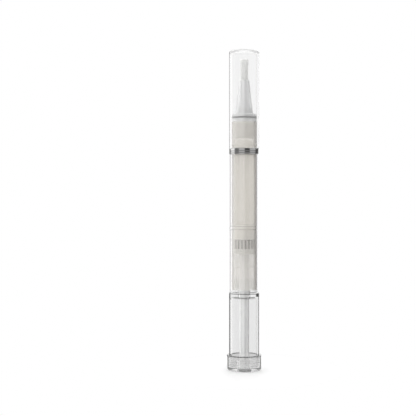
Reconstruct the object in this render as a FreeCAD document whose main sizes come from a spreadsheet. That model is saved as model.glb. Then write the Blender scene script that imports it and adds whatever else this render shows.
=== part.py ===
import FreeCAD, Part
import math
import os
import Sketcher

# Twist pen for nail oil, standing on its knob: Z runs up the pen, with zero under the knob.

# Driving dimensions in millimetres, with counts, degrees and shares where the name says so
SIZES = {
    # lengths that stack up along the pen
    "knob_height": 6.75,
    "tail_length": 27.4,
    "barrel_length": 60.25,
    "ring_height": 2.55,
    "cap_length": 43.0,
    "neck_length": 11.75,
    # fits between pieces
    "press_clearance": 0.02,
    "slip_clearance": 0.05,
    "running_clearance": 0.06,
    "cut_overrun": 0.5,
    # reservoir tube
    "tube_bore": 9.8,
    "tube_wall": 0.6,
    "neck_bead_height": 1.0,
    "neck_bead_lift": 1.2,
    "neck_round": 0.2,
    # barrel sleeve and its raised band
    "barrel_wall": 0.8,
    "barrel_round": 0.15,
    "band_lift": 26.85,
    "band_height": 2.6,
    "band_rise": 0.1,
    "band_line_inset": 0.55,
    "band_line_width": 0.4,
    "band_line_depth": 0.2,
    # trim ring
    "ring_step": 0.25,
    "ring_lower_groove_lift": 0.55,
    "ring_upper_groove_lift": 1.4,
    "ring_groove_width": 0.36,
    "ring_groove_depth": 0.08,
    "ring_round": 0.12,
    # cap
    "cap_clearance": 0.15,
    "cap_wall": 1.0,
    "cap_top": 1.2,
    "cap_room": 2.55,
    "cap_round": 1.0,
    "cap_inner_round": 0.7,
    "cap_mouth_chamfer": 0.25,
    # rear sleeve
    "tail_step": 0.3,
    "tail_wall": 0.95,
    "tail_round": 0.4,
    "web_thickness": 2.35,
    "web_round": 0.3,
    "boss_diameter": 9.4,
    "boss_drop": 0.35,
    "seat_height": 1.05,
    "spigot_length": 5.0,
    "spigot_wall": 1.0,
    # bead that snaps the knob on to the rear sleeve
    "snap_lift": 1.6,
    "snap_height": 0.9,
    "snap_depth": 0.2,
    # knob
    "knob_wall": 0.75,
    "knob_floor": 1.9,
    "knob_gap": 0.25,
    "knob_round": 0.9,
    "knob_lip_rise": 0.15,
    "knob_lip_height": 0.9,
    "knob_lip_round": 0.12,
    "recess_diameter": 5.2,
    "recess_depth": 0.9,
    "hub_wall": 1.15,
    "hub_height": 3.0,
    # driver tube
    "driver_diameter": 4.4,
    "driver_key_length": 5.0,
    "driver_nose_flats": 3.7,
    "driver_land_height": 1.1,
    "driver_land_drop": 4.8,
    # ratchet ring and the click ring inside it
    "ratchet_height": 2.3,
    "ratchet_wall": 0.5,
    "ratchet_tooth_depth": 0.4,
    "ratchet_teeth": 12,
    "tooth_slope_share": 0.85,
    "click_hub_wall": 0.75,
    "click_arm_thickness": 0.35,
    "click_arm_degrees": 105,
    "click_root_degrees": 22,
    "click_tip_degrees": 10,
    "click_arms": 2,
    # nut
    "nut_lift": 19.05,
    "nut_height": 3.7,
    "nut_ribs": 20,
    "nut_rib_depth": 0.35,
    "rib_gap_share": 0.5,
    # screw rod
    "rod_diameter": 3.0,
    "rod_flats": 2.3,
    "rod_foot_gap": 0.6,
    "rod_pin_diameter": 2.2,
    "rod_bead_rise": 0.25,
    "rod_bead_height": 1.0,
    "rod_bead_drop": 0.7,
    # piston
    "piston_gap": 0.4,
    "piston_length": 6.2,
    "piston_lip_height": 1.3,
    "piston_lip_thickness": 0.7,
    "piston_waist_depth": 0.5,
    "piston_skirt_depth": 2.4,
    "piston_boss_wall": 1.1,
    "piston_socket_depth": 4.0,
    "piston_dish_depth": 0.6,
    # oil
    "oil_film": 0.05,
    # ferrule and the seal in its groove
    "plug_length": 7.5,
    "plug_wall": 1.2,
    "plug_round": 0.3,
    "collar_height": 1.4,
    "seal_height": 0.8,
    "seal_depth": 0.55,
    "seal_rise": 0.05,
    "seal_round": 0.2,
    "flange_inset": 0.05,
    "flange_height": 1.1,
    "flange_round": 0.3,
    "cone_base_diameter": 7.9,
    "cone_tip_diameter": 4.6,
    "cone_round": 0.2,
    # tuft, the disc that holds its root and the feed pipe
    "holder_bore": 6.4,
    "holder_lift": 4.8,
    "disc_height": 3.85,
    "disc_round": 0.4,
    "tuft_diameter": 3.5,
    "tuft_tip_diameter": 3.85,
    "tuft_length": 9.35,
    "tuft_tip_round": 0.2,
    "tuft_root_rise": 0.45,
    "tuft_root_height": 1.2,
    "pipe_bore": 0.8,
    "pipe_wall": 0.2,
    "pipe_reach": 8.5,
    "pipe_tail": 2.0,
}

FULL_TURN = 360.0
ZERO = "0"
PAIR = "2"

# Radii worked out from the driving dimensions, as formulas
BORE_R = "(Sizes.tube_bore / 2)"
PRESSED_R = f"({BORE_R} - Sizes.press_clearance)"
RUNNING_R = f"({BORE_R} - Sizes.running_clearance)"
TUBE_R = f"({BORE_R} + Sizes.tube_wall)"
SLEEVE_BORE_R = f"({TUBE_R} + Sizes.slip_clearance)"
BARREL_R = f"({SLEEVE_BORE_R} + Sizes.barrel_wall)"
CAP_BORE_R = f"({TUBE_R} + Sizes.cap_clearance)"
TAIL_R = f"({BARREL_R} + Sizes.tail_step)"
KNOB_BORE_R = f"({TAIL_R} + Sizes.running_clearance)"
DRIVER_R = "(Sizes.driver_diameter / 2)"
ROD_R = "(Sizes.rod_diameter / 2)"
ROD_BORE_R = f"({ROD_R} + Sizes.running_clearance)"
PIN_R = "(Sizes.rod_pin_diameter / 2)"
PIN_BEAD_R = f"({PIN_R} + Sizes.rod_bead_rise)"
TOOTH_ROOT_R = f"({PRESSED_R} - Sizes.ratchet_wall)"
TOOTH_CREST_R = f"({TOOTH_ROOT_R} - Sizes.ratchet_tooth_depth)"
FLANGE_R = f"({TUBE_R} - Sizes.flange_inset)"
GROOVE_R = f"({FLANGE_R} - Sizes.seal_depth)"
HOLDER_BORE_R = "(Sizes.holder_bore / 2)"
TUFT_R = "(Sizes.tuft_diameter / 2)"
TUFT_ROOT_R = f"({TUFT_R} + Sizes.tuft_root_rise)"
PIPE_BORE_R = "(Sizes.pipe_bore / 2)"
PIPE_R = f"({PIPE_BORE_R} + Sizes.pipe_wall)"
PIPE_HOLE_R = f"({PIPE_R} + Sizes.press_clearance)"

# Heights above the knob's underside, as formulas
TAIL_Z = "(Sizes.knob_floor + Sizes.knob_gap)"
SHOULDER_Z = "(Sizes.knob_height + Sizes.tail_length)"
TUBE_Z = f"({SHOULDER_Z} + Sizes.seat_height)"
NUT_Z = f"({SHOULDER_Z} + Sizes.nut_lift)"
RATCHET_Z = f"({NUT_Z} - Sizes.ratchet_height)"
PISTON_Z = f"({NUT_Z} + Sizes.nut_height + Sizes.piston_gap)"
RING_Z = f"({SHOULDER_Z} + Sizes.barrel_length)"
CAP_Z = f"({RING_Z} + Sizes.ring_height)"
NECK_Z = f"({CAP_Z} + Sizes.neck_length)"
PLUG_Z = f"({NECK_Z} - Sizes.plug_length)"
ROOT_Z = f"({NECK_Z} + Sizes.holder_lift)"
DISC_Z = f"({ROOT_Z} - Sizes.disc_height)"
GROOVE_Z = f"({NECK_Z} + Sizes.collar_height)"
FLANGE_Z = f"({GROOVE_Z} + Sizes.seal_height + 2 * Sizes.press_clearance)"
CONE_Z = f"({FLANGE_Z} + Sizes.flange_height)"
CEILING_Z = f"({CAP_Z} + Sizes.cap_length - Sizes.cap_top)"
TUFT_TIP_Z = f"({CEILING_Z} - Sizes.cap_room)"
CONE_TIP_Z = f"({TUFT_TIP_Z} - Sizes.tuft_length)"
ROD_Z = "(Sizes.knob_floor + Sizes.rod_foot_gap)"

doc = FreeCAD.newDocument("nail_oil_pen")
sheet = doc.addObject("Spreadsheet::Sheet", "Sizes")
for row, (alias, value) in enumerate(SIZES.items(), start=1):
    sheet.set(f"A{row}", alias)
    sheet.set(f"B{row}", str(value))
    sheet.setAlias(f"B{row}", alias)
doc.recompute()


def number(formula):
    """The present value of a formula."""
    return float(sheet.evalExpression(formula))


def new_body(name, seat):
    """An empty sub-part whose own zero height sits at the seat's height."""
    body = doc.addObject("PartDesign::Body", name)
    body.Label = name
    if seat != ZERO:
        body.setExpression("Placement.Base.z", seat)
    return body


def origin_feature(body, role):
    return next(f for f in body.Origin.OriginFeatures if f.Role == role)


def new_sketch(body, name, role, lift=ZERO):
    sketch = body.newObject("Sketcher::SketchObject", name)
    sketch.AttachmentSupport = [(origin_feature(body, role), "")]
    sketch.MapMode = "FlatFace"
    if lift != ZERO:
        sketch.setExpression("AttachmentOffset.Base.z", lift)
    return sketch


def bind(sketch, constraint, formula):
    """Adds a dimension to a sketch and ties it to a formula."""
    index = sketch.addConstraint(constraint)
    sketch.setExpression(f"Constraints[{index}]", formula)


def pin(sketch, geometry, end, across, up):
    """Ties one point of a sketch to its two formulas."""
    for kind, axis, formula in (("DistanceX", -2, across), ("DistanceY", -1, up)):
        if formula == ZERO:
            sketch.addConstraint(Sketcher.Constraint("PointOnObject", geometry, end, axis))
        else:
            place = Sketcher.Constraint(kind, -1, 1, geometry, end, number(formula))
            bind(sketch, place, formula)


def corner_arc(before, corner, after, radius):
    """The arc that rounds a corner, where it leaves the two lines, and whether it turns left."""
    back = (before - corner).normalize()
    ahead = (after - corner).normalize()
    half = back.getAngle(ahead) / 2
    reach = radius / math.tan(half)
    centre = corner + (back + ahead).normalize() * (radius / math.sin(half))
    first = corner + back * reach
    last = corner + ahead * reach
    left = back.cross(ahead).z < 0
    ends = (first, last) if left else (last, first)
    angles = [math.atan2(p.y - centre.y, p.x - centre.x) for p in ends]
    circle = Part.Circle(centre, FreeCAD.Vector(0, 0, 1), radius)
    return Part.ArcOfCircle(circle, *angles), first, last, left


def outline(sketch, corners):
    """A closed outline through corners given as (across, up) or (across, up, round) formulas."""
    points = [FreeCAD.Vector(number(corner[0]), number(corner[1]), 0) for corner in corners]
    count = len(corners)
    starts = list(points)
    ends = list(points)
    arcs = {}
    for i, corner in enumerate(corners):
        if len(corner) == 3:
            after = points[(i + 1) % count]
            arc, ends[i], starts[i], left = corner_arc(points[i - 1], points[i], after, number(corner[2]))
            arcs[i] = (arc, left)
    lines = [
        sketch.addGeometry(Part.LineSegment(starts[i], ends[(i + 1) % count]), False)
        for i in range(count)
    ]
    for i, corner in enumerate(corners):
        before, after = lines[i - 1], lines[i]
        if i not in arcs:
            sketch.addConstraint(Sketcher.Constraint("Coincident", before, 2, after, 1))
            pin(sketch, after, 1, corner[0], corner[1])
            continue
        arc, left = arcs[i]
        first, last = (1, 2) if left else (2, 1)
        rounding = sketch.addGeometry(arc, False)
        sketch.addConstraint(Sketcher.Constraint("Tangent", before, 2, rounding, first))
        sketch.addConstraint(Sketcher.Constraint("Tangent", rounding, last, after, 1))
        bind(sketch, Sketcher.Constraint("Radius", rounding, number(corner[2])), corner[2])
        apex = sketch.addGeometry(Part.Point(points[i]), True)
        sketch.addConstraint(Sketcher.Constraint("PointOnObject", apex, 1, before))
        sketch.addConstraint(Sketcher.Constraint("PointOnObject", apex, 1, after))
        pin(sketch, apex, 1, corner[0], corner[1])
    return sketch


def keyed_outline(sketch, radius, flats):
    """A round outline with two flats, for a keyed hole."""
    reach = number(radius)
    half = number(flats) / 2
    angle = math.asin(half / reach)
    across = reach * math.cos(angle)
    circle = Part.Circle(FreeCAD.Vector(0, 0, 0), FreeCAD.Vector(0, 0, 1), reach)
    sides = [
        Part.ArcOfCircle(circle, -angle, angle),
        Part.LineSegment(FreeCAD.Vector(across, half, 0), FreeCAD.Vector(-across, half, 0)),
        Part.ArcOfCircle(circle, math.pi - angle, math.pi + angle),
        Part.LineSegment(FreeCAD.Vector(-across, -half, 0), FreeCAD.Vector(across, -half, 0)),
    ]
    right, top, left, bottom = [sketch.addGeometry(side, False) for side in sides]
    for first, second in ((right, top), (top, left), (left, bottom), (bottom, right)):
        sketch.addConstraint(Sketcher.Constraint("Coincident", first, 2, second, 1))
    for arc in (right, left):
        sketch.addConstraint(Sketcher.Constraint("Coincident", arc, 3, -1, 1))
    sketch.addConstraint(Sketcher.Constraint("Horizontal", top))
    sketch.addConstraint(Sketcher.Constraint("Symmetric", right, 1, right, 2, -1))
    sketch.addConstraint(Sketcher.Constraint("Symmetric", left, 1, left, 2, -1))
    bind(sketch, Sketcher.Constraint("Radius", right, reach), radius)
    bind(sketch, Sketcher.Constraint("DistanceY", bottom, 2, top, 1, 2 * half), flats)
    return sketch


def turned(name, seat, corners):
    """A sub-part turned about the pen's axis from its half section of (radius, height) corners."""
    body = new_body(name, seat)
    section = outline(new_sketch(body, f"{name}_section", "XZ_Plane"), corners)
    turning = body.newObject("PartDesign::Revolution", f"{name}_turning")
    turning.Profile = section
    turning.ReferenceAxis = (section, ["V_Axis"])
    turning.Angle = FULL_TURN
    doc.recompute()
    return body


def cut_up(body, sketch, name, depth=None):
    """Cuts a sketch upwards from its own plane, all the way or to a depth, and proves that it cut."""
    before = body.Shape.Volume
    cut = body.newObject("PartDesign::Pocket", name)
    cut.Profile = sketch
    cut.Reversed = True
    if depth is None:
        cut.Type = "ThroughAll"
    else:
        cut.Type = "Length"
        cut.setExpression("Length", depth)
    doc.recompute()
    if not body.Shape.Volume < before:
        raise ValueError(f"{name} cut nothing")
    return cut


def repeat_round(body, feature, name, count):
    """Repeats a cut evenly about the pen's axis."""
    pattern = body.newObject("PartDesign::PolarPattern", name)
    pattern.Originals = [feature]
    pattern.Axis = (origin_feature(body, "Z_Axis"), [""])
    pattern.Angle = FULL_TURN
    pattern.setExpression("Occurrences", count)
    body.Tip = pattern
    doc.recompute()


def cut_flats(body, name, radius, flats, lift=ZERO, depth=None):
    """Cuts two opposite flats along a bar, from a height upwards."""
    outer = f"({radius} + Sizes.cut_overrun)"
    side = outline(new_sketch(body, f"{name}_side", "XY_Plane", lift), [
        (f"-{outer}", f"{flats} / 2"),
        (outer, f"{flats} / 2"),
        (outer, outer),
        (f"-{outer}", outer),
    ])
    cut = cut_up(body, side, f"{name}_flat", depth)
    repeat_round(body, cut, f"{name}_flats", PAIR)


def bar(name, kind, lift, sizes):
    """A plain solid on the pen's axis, with its height above the knob's underside and its sizes bound."""
    solid = doc.addObject(kind, name)
    for size, formula in sizes.items():
        solid.setExpression(size, formula)
    solid.setExpression("Placement.Base.z", lift)
    return solid


def keyed_bar(name, radius, flats, lift, height):
    """A round bar with two flats, for cutting a keyed hole."""
    round_bar = bar(f"{name}_round", "Part::Cylinder", lift, {"Radius": radius, "Height": height})
    slab = bar(f"{name}_slab", "Part::Box", lift, {
        "Length": f"2 * {radius}", "Width": flats, "Height": height,
    })
    slab.setExpression("Placement.Base.x", f"-{radius}")
    slab.setExpression("Placement.Base.y", f"-({flats}) / 2")
    keyed = doc.addObject("Part::Common", name)
    keyed.Base = round_bar
    keyed.Tool = slab
    return keyed


def cut_from(name, base, tool):
    result = doc.addObject("Part::Cut", name)
    result.Label = name
    result.Base = base
    result.Tool = tool
    return result


def end_knob():
    knob_r = f"({KNOB_BORE_R} + Sizes.knob_wall)"
    lip_r = f"({knob_r} + Sizes.knob_lip_rise)"
    lip_z = "(Sizes.knob_height - Sizes.knob_lip_height)"
    snap_r = f"({KNOB_BORE_R} - Sizes.snap_depth)"
    snap_z = f"({TAIL_Z} + Sizes.snap_lift)"
    snap_top = f"({snap_z} + Sizes.snap_height)"
    hub_bore = f"({DRIVER_R} + Sizes.press_clearance)"
    hub_r = f"({hub_bore} + Sizes.hub_wall)"
    hub_top = "(Sizes.knob_floor + Sizes.hub_height)"
    return turned("end_knob", ZERO, [
        (ZERO, "Sizes.recess_depth"),
        ("Sizes.recess_diameter / 2", "Sizes.recess_depth"),
        ("Sizes.recess_diameter / 2", ZERO),
        (knob_r, ZERO, "Sizes.knob_round"),
        (knob_r, lip_z),
        (lip_r, f"{lip_z} + Sizes.knob_lip_rise"),
        (lip_r, "Sizes.knob_height", "Sizes.knob_lip_round"),
        (KNOB_BORE_R, "Sizes.knob_height"),
        (KNOB_BORE_R, snap_top),
        (snap_r, f"{snap_top} - Sizes.snap_depth"),
        (snap_r, f"{snap_z} + Sizes.snap_depth"),
        (KNOB_BORE_R, snap_z),
        (KNOB_BORE_R, "Sizes.knob_floor"),
        (hub_r, "Sizes.knob_floor"),
        (hub_r, hub_top),
        (hub_bore, hub_top),
        (hub_bore, "Sizes.knob_floor"),
        (ZERO, "Sizes.knob_floor"),
    ])


def rear_sleeve():
    bore = f"({TAIL_R} - Sizes.tail_wall)"
    groove_r = f"({TAIL_R} - Sizes.snap_depth)"
    groove_z = "(Sizes.snap_lift - Sizes.slip_clearance)"
    groove_top = "(Sizes.snap_lift + Sizes.snap_height + Sizes.slip_clearance)"
    shoulder = f"({SHOULDER_Z} - {TAIL_Z})"
    seat = f"({shoulder} + Sizes.seat_height)"
    spigot_top = f"({seat} + Sizes.spigot_length)"
    spigot_bore = f"({PRESSED_R} - Sizes.spigot_wall)"
    driver_hole = f"({DRIVER_R} + Sizes.running_clearance)"
    web_z = f"({shoulder} - Sizes.web_thickness)"
    return turned("rear_sleeve", TAIL_Z, [
        (bore, ZERO),
        (TAIL_R, ZERO, "Sizes.tail_round"),
        (TAIL_R, groove_z),
        (groove_r, groove_z),
        (groove_r, groove_top),
        (TAIL_R, groove_top),
        (TAIL_R, shoulder, "Sizes.tail_round"),
        (TUBE_R, shoulder),
        (TUBE_R, seat),
        (PRESSED_R, seat),
        (PRESSED_R, spigot_top),
        (spigot_bore, spigot_top),
        (spigot_bore, seat),
        (driver_hole, seat),
        (driver_hole, f"{web_z} - Sizes.boss_drop"),
        ("Sizes.boss_diameter / 2", f"{web_z} - Sizes.boss_drop"),
        ("Sizes.boss_diameter / 2", web_z),
        (bore, web_z, "Sizes.web_round"),
    ])


def barrel_sleeve():
    band_r = f"({BARREL_R} + Sizes.band_rise)"
    band_top = "(Sizes.band_lift + Sizes.band_height)"
    line_r = f"({band_r} - Sizes.band_line_depth)"
    band = [(BARREL_R, "Sizes.band_lift"), (band_r, "Sizes.band_lift")]
    for middle in ("(Sizes.band_lift + Sizes.band_line_inset)", f"({band_top} - Sizes.band_line_inset)"):
        band += [
            (band_r, f"{middle} - Sizes.band_line_width / 2"),
            (line_r, middle),
            (band_r, f"{middle} + Sizes.band_line_width / 2"),
        ]
    band += [(band_r, band_top), (BARREL_R, band_top)]
    return turned("barrel_sleeve", SHOULDER_Z, [
        (SLEEVE_BORE_R, ZERO),
        (BARREL_R, ZERO, "Sizes.barrel_round"),
        *band,
        (BARREL_R, "Sizes.barrel_length", "Sizes.barrel_round"),
        (SLEEVE_BORE_R, "Sizes.barrel_length"),
    ])


def trim_ring():
    bore = f"({TUBE_R} + Sizes.press_clearance)"
    ring_r = f"({BARREL_R} + Sizes.ring_step)"
    grooves = []
    for middle in ("Sizes.ring_lower_groove_lift", "Sizes.ring_upper_groove_lift"):
        grooves += [
            (ring_r, f"{middle} - Sizes.ring_groove_width / 2"),
            (f"{ring_r} - Sizes.ring_groove_depth", middle),
            (ring_r, f"{middle} + Sizes.ring_groove_width / 2"),
        ]
    return turned("trim_ring", RING_Z, [
        (bore, ZERO),
        (ring_r, ZERO, "Sizes.ring_round"),
        *grooves,
        (ring_r, "Sizes.ring_height", "Sizes.ring_round"),
        (bore, "Sizes.ring_height"),
    ])


def cap_shell():
    cap_r = f"({CAP_BORE_R} + Sizes.cap_wall)"
    ceiling = f"({CEILING_Z} - {CAP_Z})"
    return turned("cap_shell", CAP_Z, [
        (f"{CAP_BORE_R} + Sizes.cap_mouth_chamfer", ZERO),
        (cap_r, ZERO),
        (cap_r, "Sizes.cap_length", "Sizes.cap_round"),
        (ZERO, "Sizes.cap_length"),
        (ZERO, ceiling),
        (CAP_BORE_R, ceiling, "Sizes.cap_inner_round"),
        (CAP_BORE_R, "Sizes.cap_mouth_chamfer"),
    ])


def reservoir_tube():
    rim = f"({NECK_Z} - {TUBE_Z})"
    bead_r = f"({CAP_BORE_R} - Sizes.slip_clearance)"
    bead_rise = f"({bead_r} - {TUBE_R})"
    bead_z = f"({CAP_Z} - {TUBE_Z} + Sizes.neck_bead_lift)"
    bead_top = f"({bead_z} + Sizes.neck_bead_height)"
    return turned("reservoir_tube", TUBE_Z, [
        (BORE_R, ZERO),
        (TUBE_R, ZERO),
        (TUBE_R, bead_z),
        (bead_r, f"{bead_z} + {bead_rise}"),
        (bead_r, f"{bead_top} - {bead_rise}"),
        (TUBE_R, bead_top),
        (TUBE_R, rim, "Sizes.neck_round"),
        (BORE_R, rim),
    ])


def drive_nut():
    body = turned("drive_nut", NUT_Z, [
        (ROD_BORE_R, ZERO),
        (PRESSED_R, ZERO),
        (PRESSED_R, "Sizes.nut_height"),
        (ROD_BORE_R, "Sizes.nut_height"),
    ])
    gap = f"(2 * {PRESSED_R} * sin(180deg / Sizes.nut_ribs) * Sizes.rib_gap_share)"
    rim = f"({PRESSED_R} + Sizes.cut_overrun)"
    floor = f"({PRESSED_R} - Sizes.nut_rib_depth)"
    slot = outline(new_sketch(body, "rib_gap", "XY_Plane"), [
        (floor, ZERO),
        (rim, ZERO),
        (rim, gap),
        (floor, gap),
    ])
    repeat_round(body, cut_up(body, slot, "rib_slot"), "ribs", "Sizes.nut_ribs")
    return body


def ratchet_ring():
    body = turned("ratchet_ring", RATCHET_Z, [
        (TOOTH_CREST_R, ZERO),
        (PRESSED_R, ZERO),
        (PRESSED_R, "Sizes.ratchet_height"),
        (TOOTH_CREST_R, "Sizes.ratchet_height"),
    ])
    slope = "(360deg / Sizes.ratchet_teeth * Sizes.tooth_slope_share)"
    tooth = outline(new_sketch(body, "tooth_gap", "XY_Plane"), [
        (f"{TOOTH_CREST_R} - Sizes.cut_overrun", ZERO),
        (TOOTH_ROOT_R, ZERO),
        (f"{TOOTH_CREST_R} * cos({slope})", f"{TOOTH_CREST_R} * sin({slope})"),
    ])
    repeat_round(body, cut_up(body, tooth, "tooth_slot"), "teeth", "Sizes.ratchet_teeth")
    return body


def click_ring():
    """A keyed hub with curved spring arms, whose tips ride inside the ratchet teeth."""
    foot = f"({RATCHET_Z} + Sizes.slip_clearance)"
    height = "(Sizes.ratchet_height - 2 * Sizes.slip_clearance)"
    bore_r = f"({DRIVER_R} + Sizes.press_clearance)"
    hub_r = f"({bore_r} + Sizes.click_hub_wall)"
    tip_r = f"({TOOTH_CREST_R} - Sizes.running_clearance)"
    middle_r = f"(({hub_r} + {tip_r}) / 2)"
    arm_r = f"({middle_r} + Sizes.click_arm_thickness / 2)"
    arm_inner_r = f"({middle_r} - Sizes.click_arm_thickness / 2)"

    def wedge(name, radius, degrees, turn):
        solid = bar(name, "Part::Cylinder", foot, {"Radius": radius, "Height": height, "Angle": degrees})
        solid.setExpression("Placement.Rotation.Angle", turn)
        return solid

    hub = bar("click_hub", "Part::Cylinder", foot, {"Radius": hub_r, "Height": height})
    solids = [hub]
    for arm in range(int(number("Sizes.click_arms"))):
        turn = f"{arm} * 360deg / Sizes.click_arms"
        tip_turn = f"{turn} + (Sizes.click_arm_degrees - Sizes.click_tip_degrees) * 1deg"
        reach = doc.addObject("Part::MultiFuse", f"click_reach_{arm}")
        reach.Shapes = [
            wedge(f"click_arm_{arm}", arm_r, "Sizes.click_arm_degrees", turn),
            wedge(f"click_tip_{arm}", tip_r, "Sizes.click_tip_degrees", tip_turn),
        ]
        core = bar(f"click_core_{arm}", "Part::Cylinder", foot, {"Radius": arm_inner_r, "Height": height})
        solids.append(cut_from(f"click_spring_{arm}", reach, core))
        solids.append(wedge(f"click_root_{arm}", arm_r, "Sizes.click_root_degrees", turn))
    blank = doc.addObject("Part::MultiFuse", "click_blank")
    blank.Shapes = solids
    flats = "(Sizes.driver_nose_flats + 2 * Sizes.press_clearance)"
    return cut_from("click_ring", blank, keyed_bar("click_bore", bore_r, flats, foot, height))


def driver_tube():
    top = f"({NUT_Z} - Sizes.slip_clearance - Sizes.knob_floor)"
    nose = f"({RATCHET_Z} - Sizes.knob_floor)"
    land_top = f"({nose} - Sizes.driver_land_drop)"
    land_z = f"({land_top} - Sizes.driver_land_height)"
    body = turned("driver_tube", "Sizes.knob_floor", [
        (ZERO, ZERO),
        (DRIVER_R, ZERO),
        (DRIVER_R, land_z),
        (RUNNING_R, land_z),
        (RUNNING_R, land_top),
        (DRIVER_R, land_top),
        (DRIVER_R, top),
        (ZERO, top),
    ])
    cut_flats(body, "nose", DRIVER_R, "Sizes.driver_nose_flats", nose)
    keyway = "(Sizes.rod_flats + 2 * Sizes.running_clearance)"
    key_z = f"({top} - Sizes.driver_key_length)"
    bore = outline(new_sketch(body, "bore_section", "XZ_Plane"), [
        (ZERO, ZERO),
        (ROD_BORE_R, ZERO),
        (ROD_BORE_R, key_z),
        (ZERO, key_z),
    ])
    groove = body.newObject("PartDesign::Groove", "bore")
    groove.Profile = bore
    groove.ReferenceAxis = (bore, ["V_Axis"])
    groove.Angle = FULL_TURN
    doc.recompute()
    key = keyed_outline(new_sketch(body, "key_section", "XY_Plane"), ROD_BORE_R, keyway)
    cut_up(body, key, "key_hole")
    return body


def screw_rod():
    top = f"({PISTON_Z} - {ROD_Z})"
    pin_top = f"({top} + Sizes.piston_socket_depth - Sizes.slip_clearance)"
    bead_top = f"({pin_top} - Sizes.rod_bead_drop)"
    body = turned("screw_rod", ROD_Z, [
        (ZERO, ZERO),
        (ROD_R, ZERO),
        (ROD_R, top),
        (PIN_R, top),
        (PIN_R, f"{bead_top} - Sizes.rod_bead_height"),
        (PIN_BEAD_R, f"{bead_top} - Sizes.rod_bead_height + Sizes.rod_bead_rise"),
        (PIN_BEAD_R, f"{bead_top} - Sizes.rod_bead_rise"),
        (PIN_R, bead_top),
        (PIN_R, pin_top),
        (ZERO, pin_top),
    ])
    cut_flats(body, "rod", ROD_R, "Sizes.rod_flats", ZERO, top)
    return body


def piston():
    top = "Sizes.piston_length"
    socket_r = f"({PIN_R} + Sizes.running_clearance)"
    groove_r = f"({PIN_BEAD_R} + Sizes.running_clearance)"
    groove_top = "(Sizes.piston_socket_depth - Sizes.rod_bead_drop)"
    groove_z = f"({groove_top} - Sizes.rod_bead_height - 2 * Sizes.slip_clearance)"
    boss_r = f"({socket_r} + Sizes.piston_boss_wall)"
    skirt_r = f"({RUNNING_R} - Sizes.piston_waist_depth - Sizes.piston_lip_thickness)"
    waist_r = f"({RUNNING_R} - Sizes.piston_waist_depth)"
    dish = f"({top} - Sizes.piston_dish_depth)"
    dish_r = f"({RUNNING_R} - Sizes.piston_lip_thickness)"
    return turned("piston", PISTON_Z, [
        (socket_r, ZERO),
        (boss_r, ZERO),
        (boss_r, "Sizes.piston_skirt_depth"),
        (skirt_r, "Sizes.piston_skirt_depth"),
        (skirt_r, ZERO),
        (RUNNING_R, ZERO),
        (RUNNING_R, "Sizes.piston_lip_height"),
        (waist_r, "Sizes.piston_lip_height"),
        (waist_r, f"{top} - Sizes.piston_lip_height"),
        (RUNNING_R, f"{top} - Sizes.piston_lip_height"),
        (RUNNING_R, top),
        (dish_r, top),
        (f"{dish_r} - Sizes.piston_dish_depth", dish),
        (ZERO, dish),
        (ZERO, "Sizes.piston_socket_depth"),
        (socket_r, "Sizes.piston_socket_depth"),
        (socket_r, groove_top),
        (groove_r, groove_top),
        (groove_r, groove_z),
        (socket_r, groove_z),
    ])


def oil_fill():
    oil_r = f"({BORE_R} - Sizes.oil_film)"
    foot = f"({PISTON_Z} + Sizes.piston_length + Sizes.oil_film)"
    top = f"({PLUG_Z} - Sizes.oil_film - {foot})"
    return turned("oil_fill", foot, [
        (ZERO, ZERO),
        (oil_r, ZERO),
        (oil_r, top),
        (ZERO, top),
    ])


def brush_ferrule():
    plug_bore = f"({PRESSED_R} - Sizes.plug_wall)"
    collar_z = "Sizes.plug_length"
    groove_z = f"({GROOVE_Z} - {PLUG_Z})"
    flange_z = f"({FLANGE_Z} - {PLUG_Z})"
    cone_z = f"({CONE_Z} - {PLUG_Z})"
    tip = f"({CONE_TIP_Z} - {PLUG_Z})"
    disc_z = f"({DISC_Z} - {PLUG_Z})"
    root_z = f"({ROOT_Z} - {PLUG_Z})"
    root_top = f"({root_z} + Sizes.tuft_root_height + Sizes.slip_clearance)"
    root_hole = f"({TUFT_ROOT_R} + Sizes.press_clearance)"
    tuft_hole = f"({TUFT_R} + Sizes.press_clearance)"
    return turned("brush_ferrule", PLUG_Z, [
        (plug_bore, ZERO),
        (PRESSED_R, ZERO, "Sizes.plug_round"),
        (PRESSED_R, collar_z),
        (FLANGE_R, collar_z),
        (FLANGE_R, groove_z),
        (GROOVE_R, groove_z),
        (GROOVE_R, flange_z),
        (FLANGE_R, flange_z),
        (FLANGE_R, cone_z, "Sizes.flange_round"),
        ("Sizes.cone_base_diameter / 2", cone_z),
        ("Sizes.cone_tip_diameter / 2", tip, "Sizes.cone_round"),
        (tuft_hole, tip),
        (tuft_hole, root_top),
        (root_hole, root_top),
        (root_hole, root_z),
        (HOLDER_BORE_R, root_z),
        (HOLDER_BORE_R, disc_z),
        (plug_bore, disc_z),
    ])


def ferrule_seal():
    """A soft ring in the ferrule's groove, a little proud of it, for the cap to slide over."""
    bore = f"({GROOVE_R} + Sizes.press_clearance)"
    seal_r = f"({FLANGE_R} + Sizes.seal_rise)"
    return turned("ferrule_seal", f"{GROOVE_Z} + Sizes.press_clearance", [
        (bore, ZERO),
        (seal_r, ZERO, "Sizes.seal_round"),
        (seal_r, "Sizes.seal_height", "Sizes.seal_round"),
        (bore, "Sizes.seal_height"),
    ])


def tuft_plug():
    disc_r = f"({HOLDER_BORE_R} - Sizes.press_clearance)"
    return turned("tuft_plug", DISC_Z, [
        (PIPE_HOLE_R, ZERO),
        (disc_r, ZERO, "Sizes.disc_round"),
        (disc_r, "Sizes.disc_height"),
        (PIPE_HOLE_R, "Sizes.disc_height"),
    ])


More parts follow.
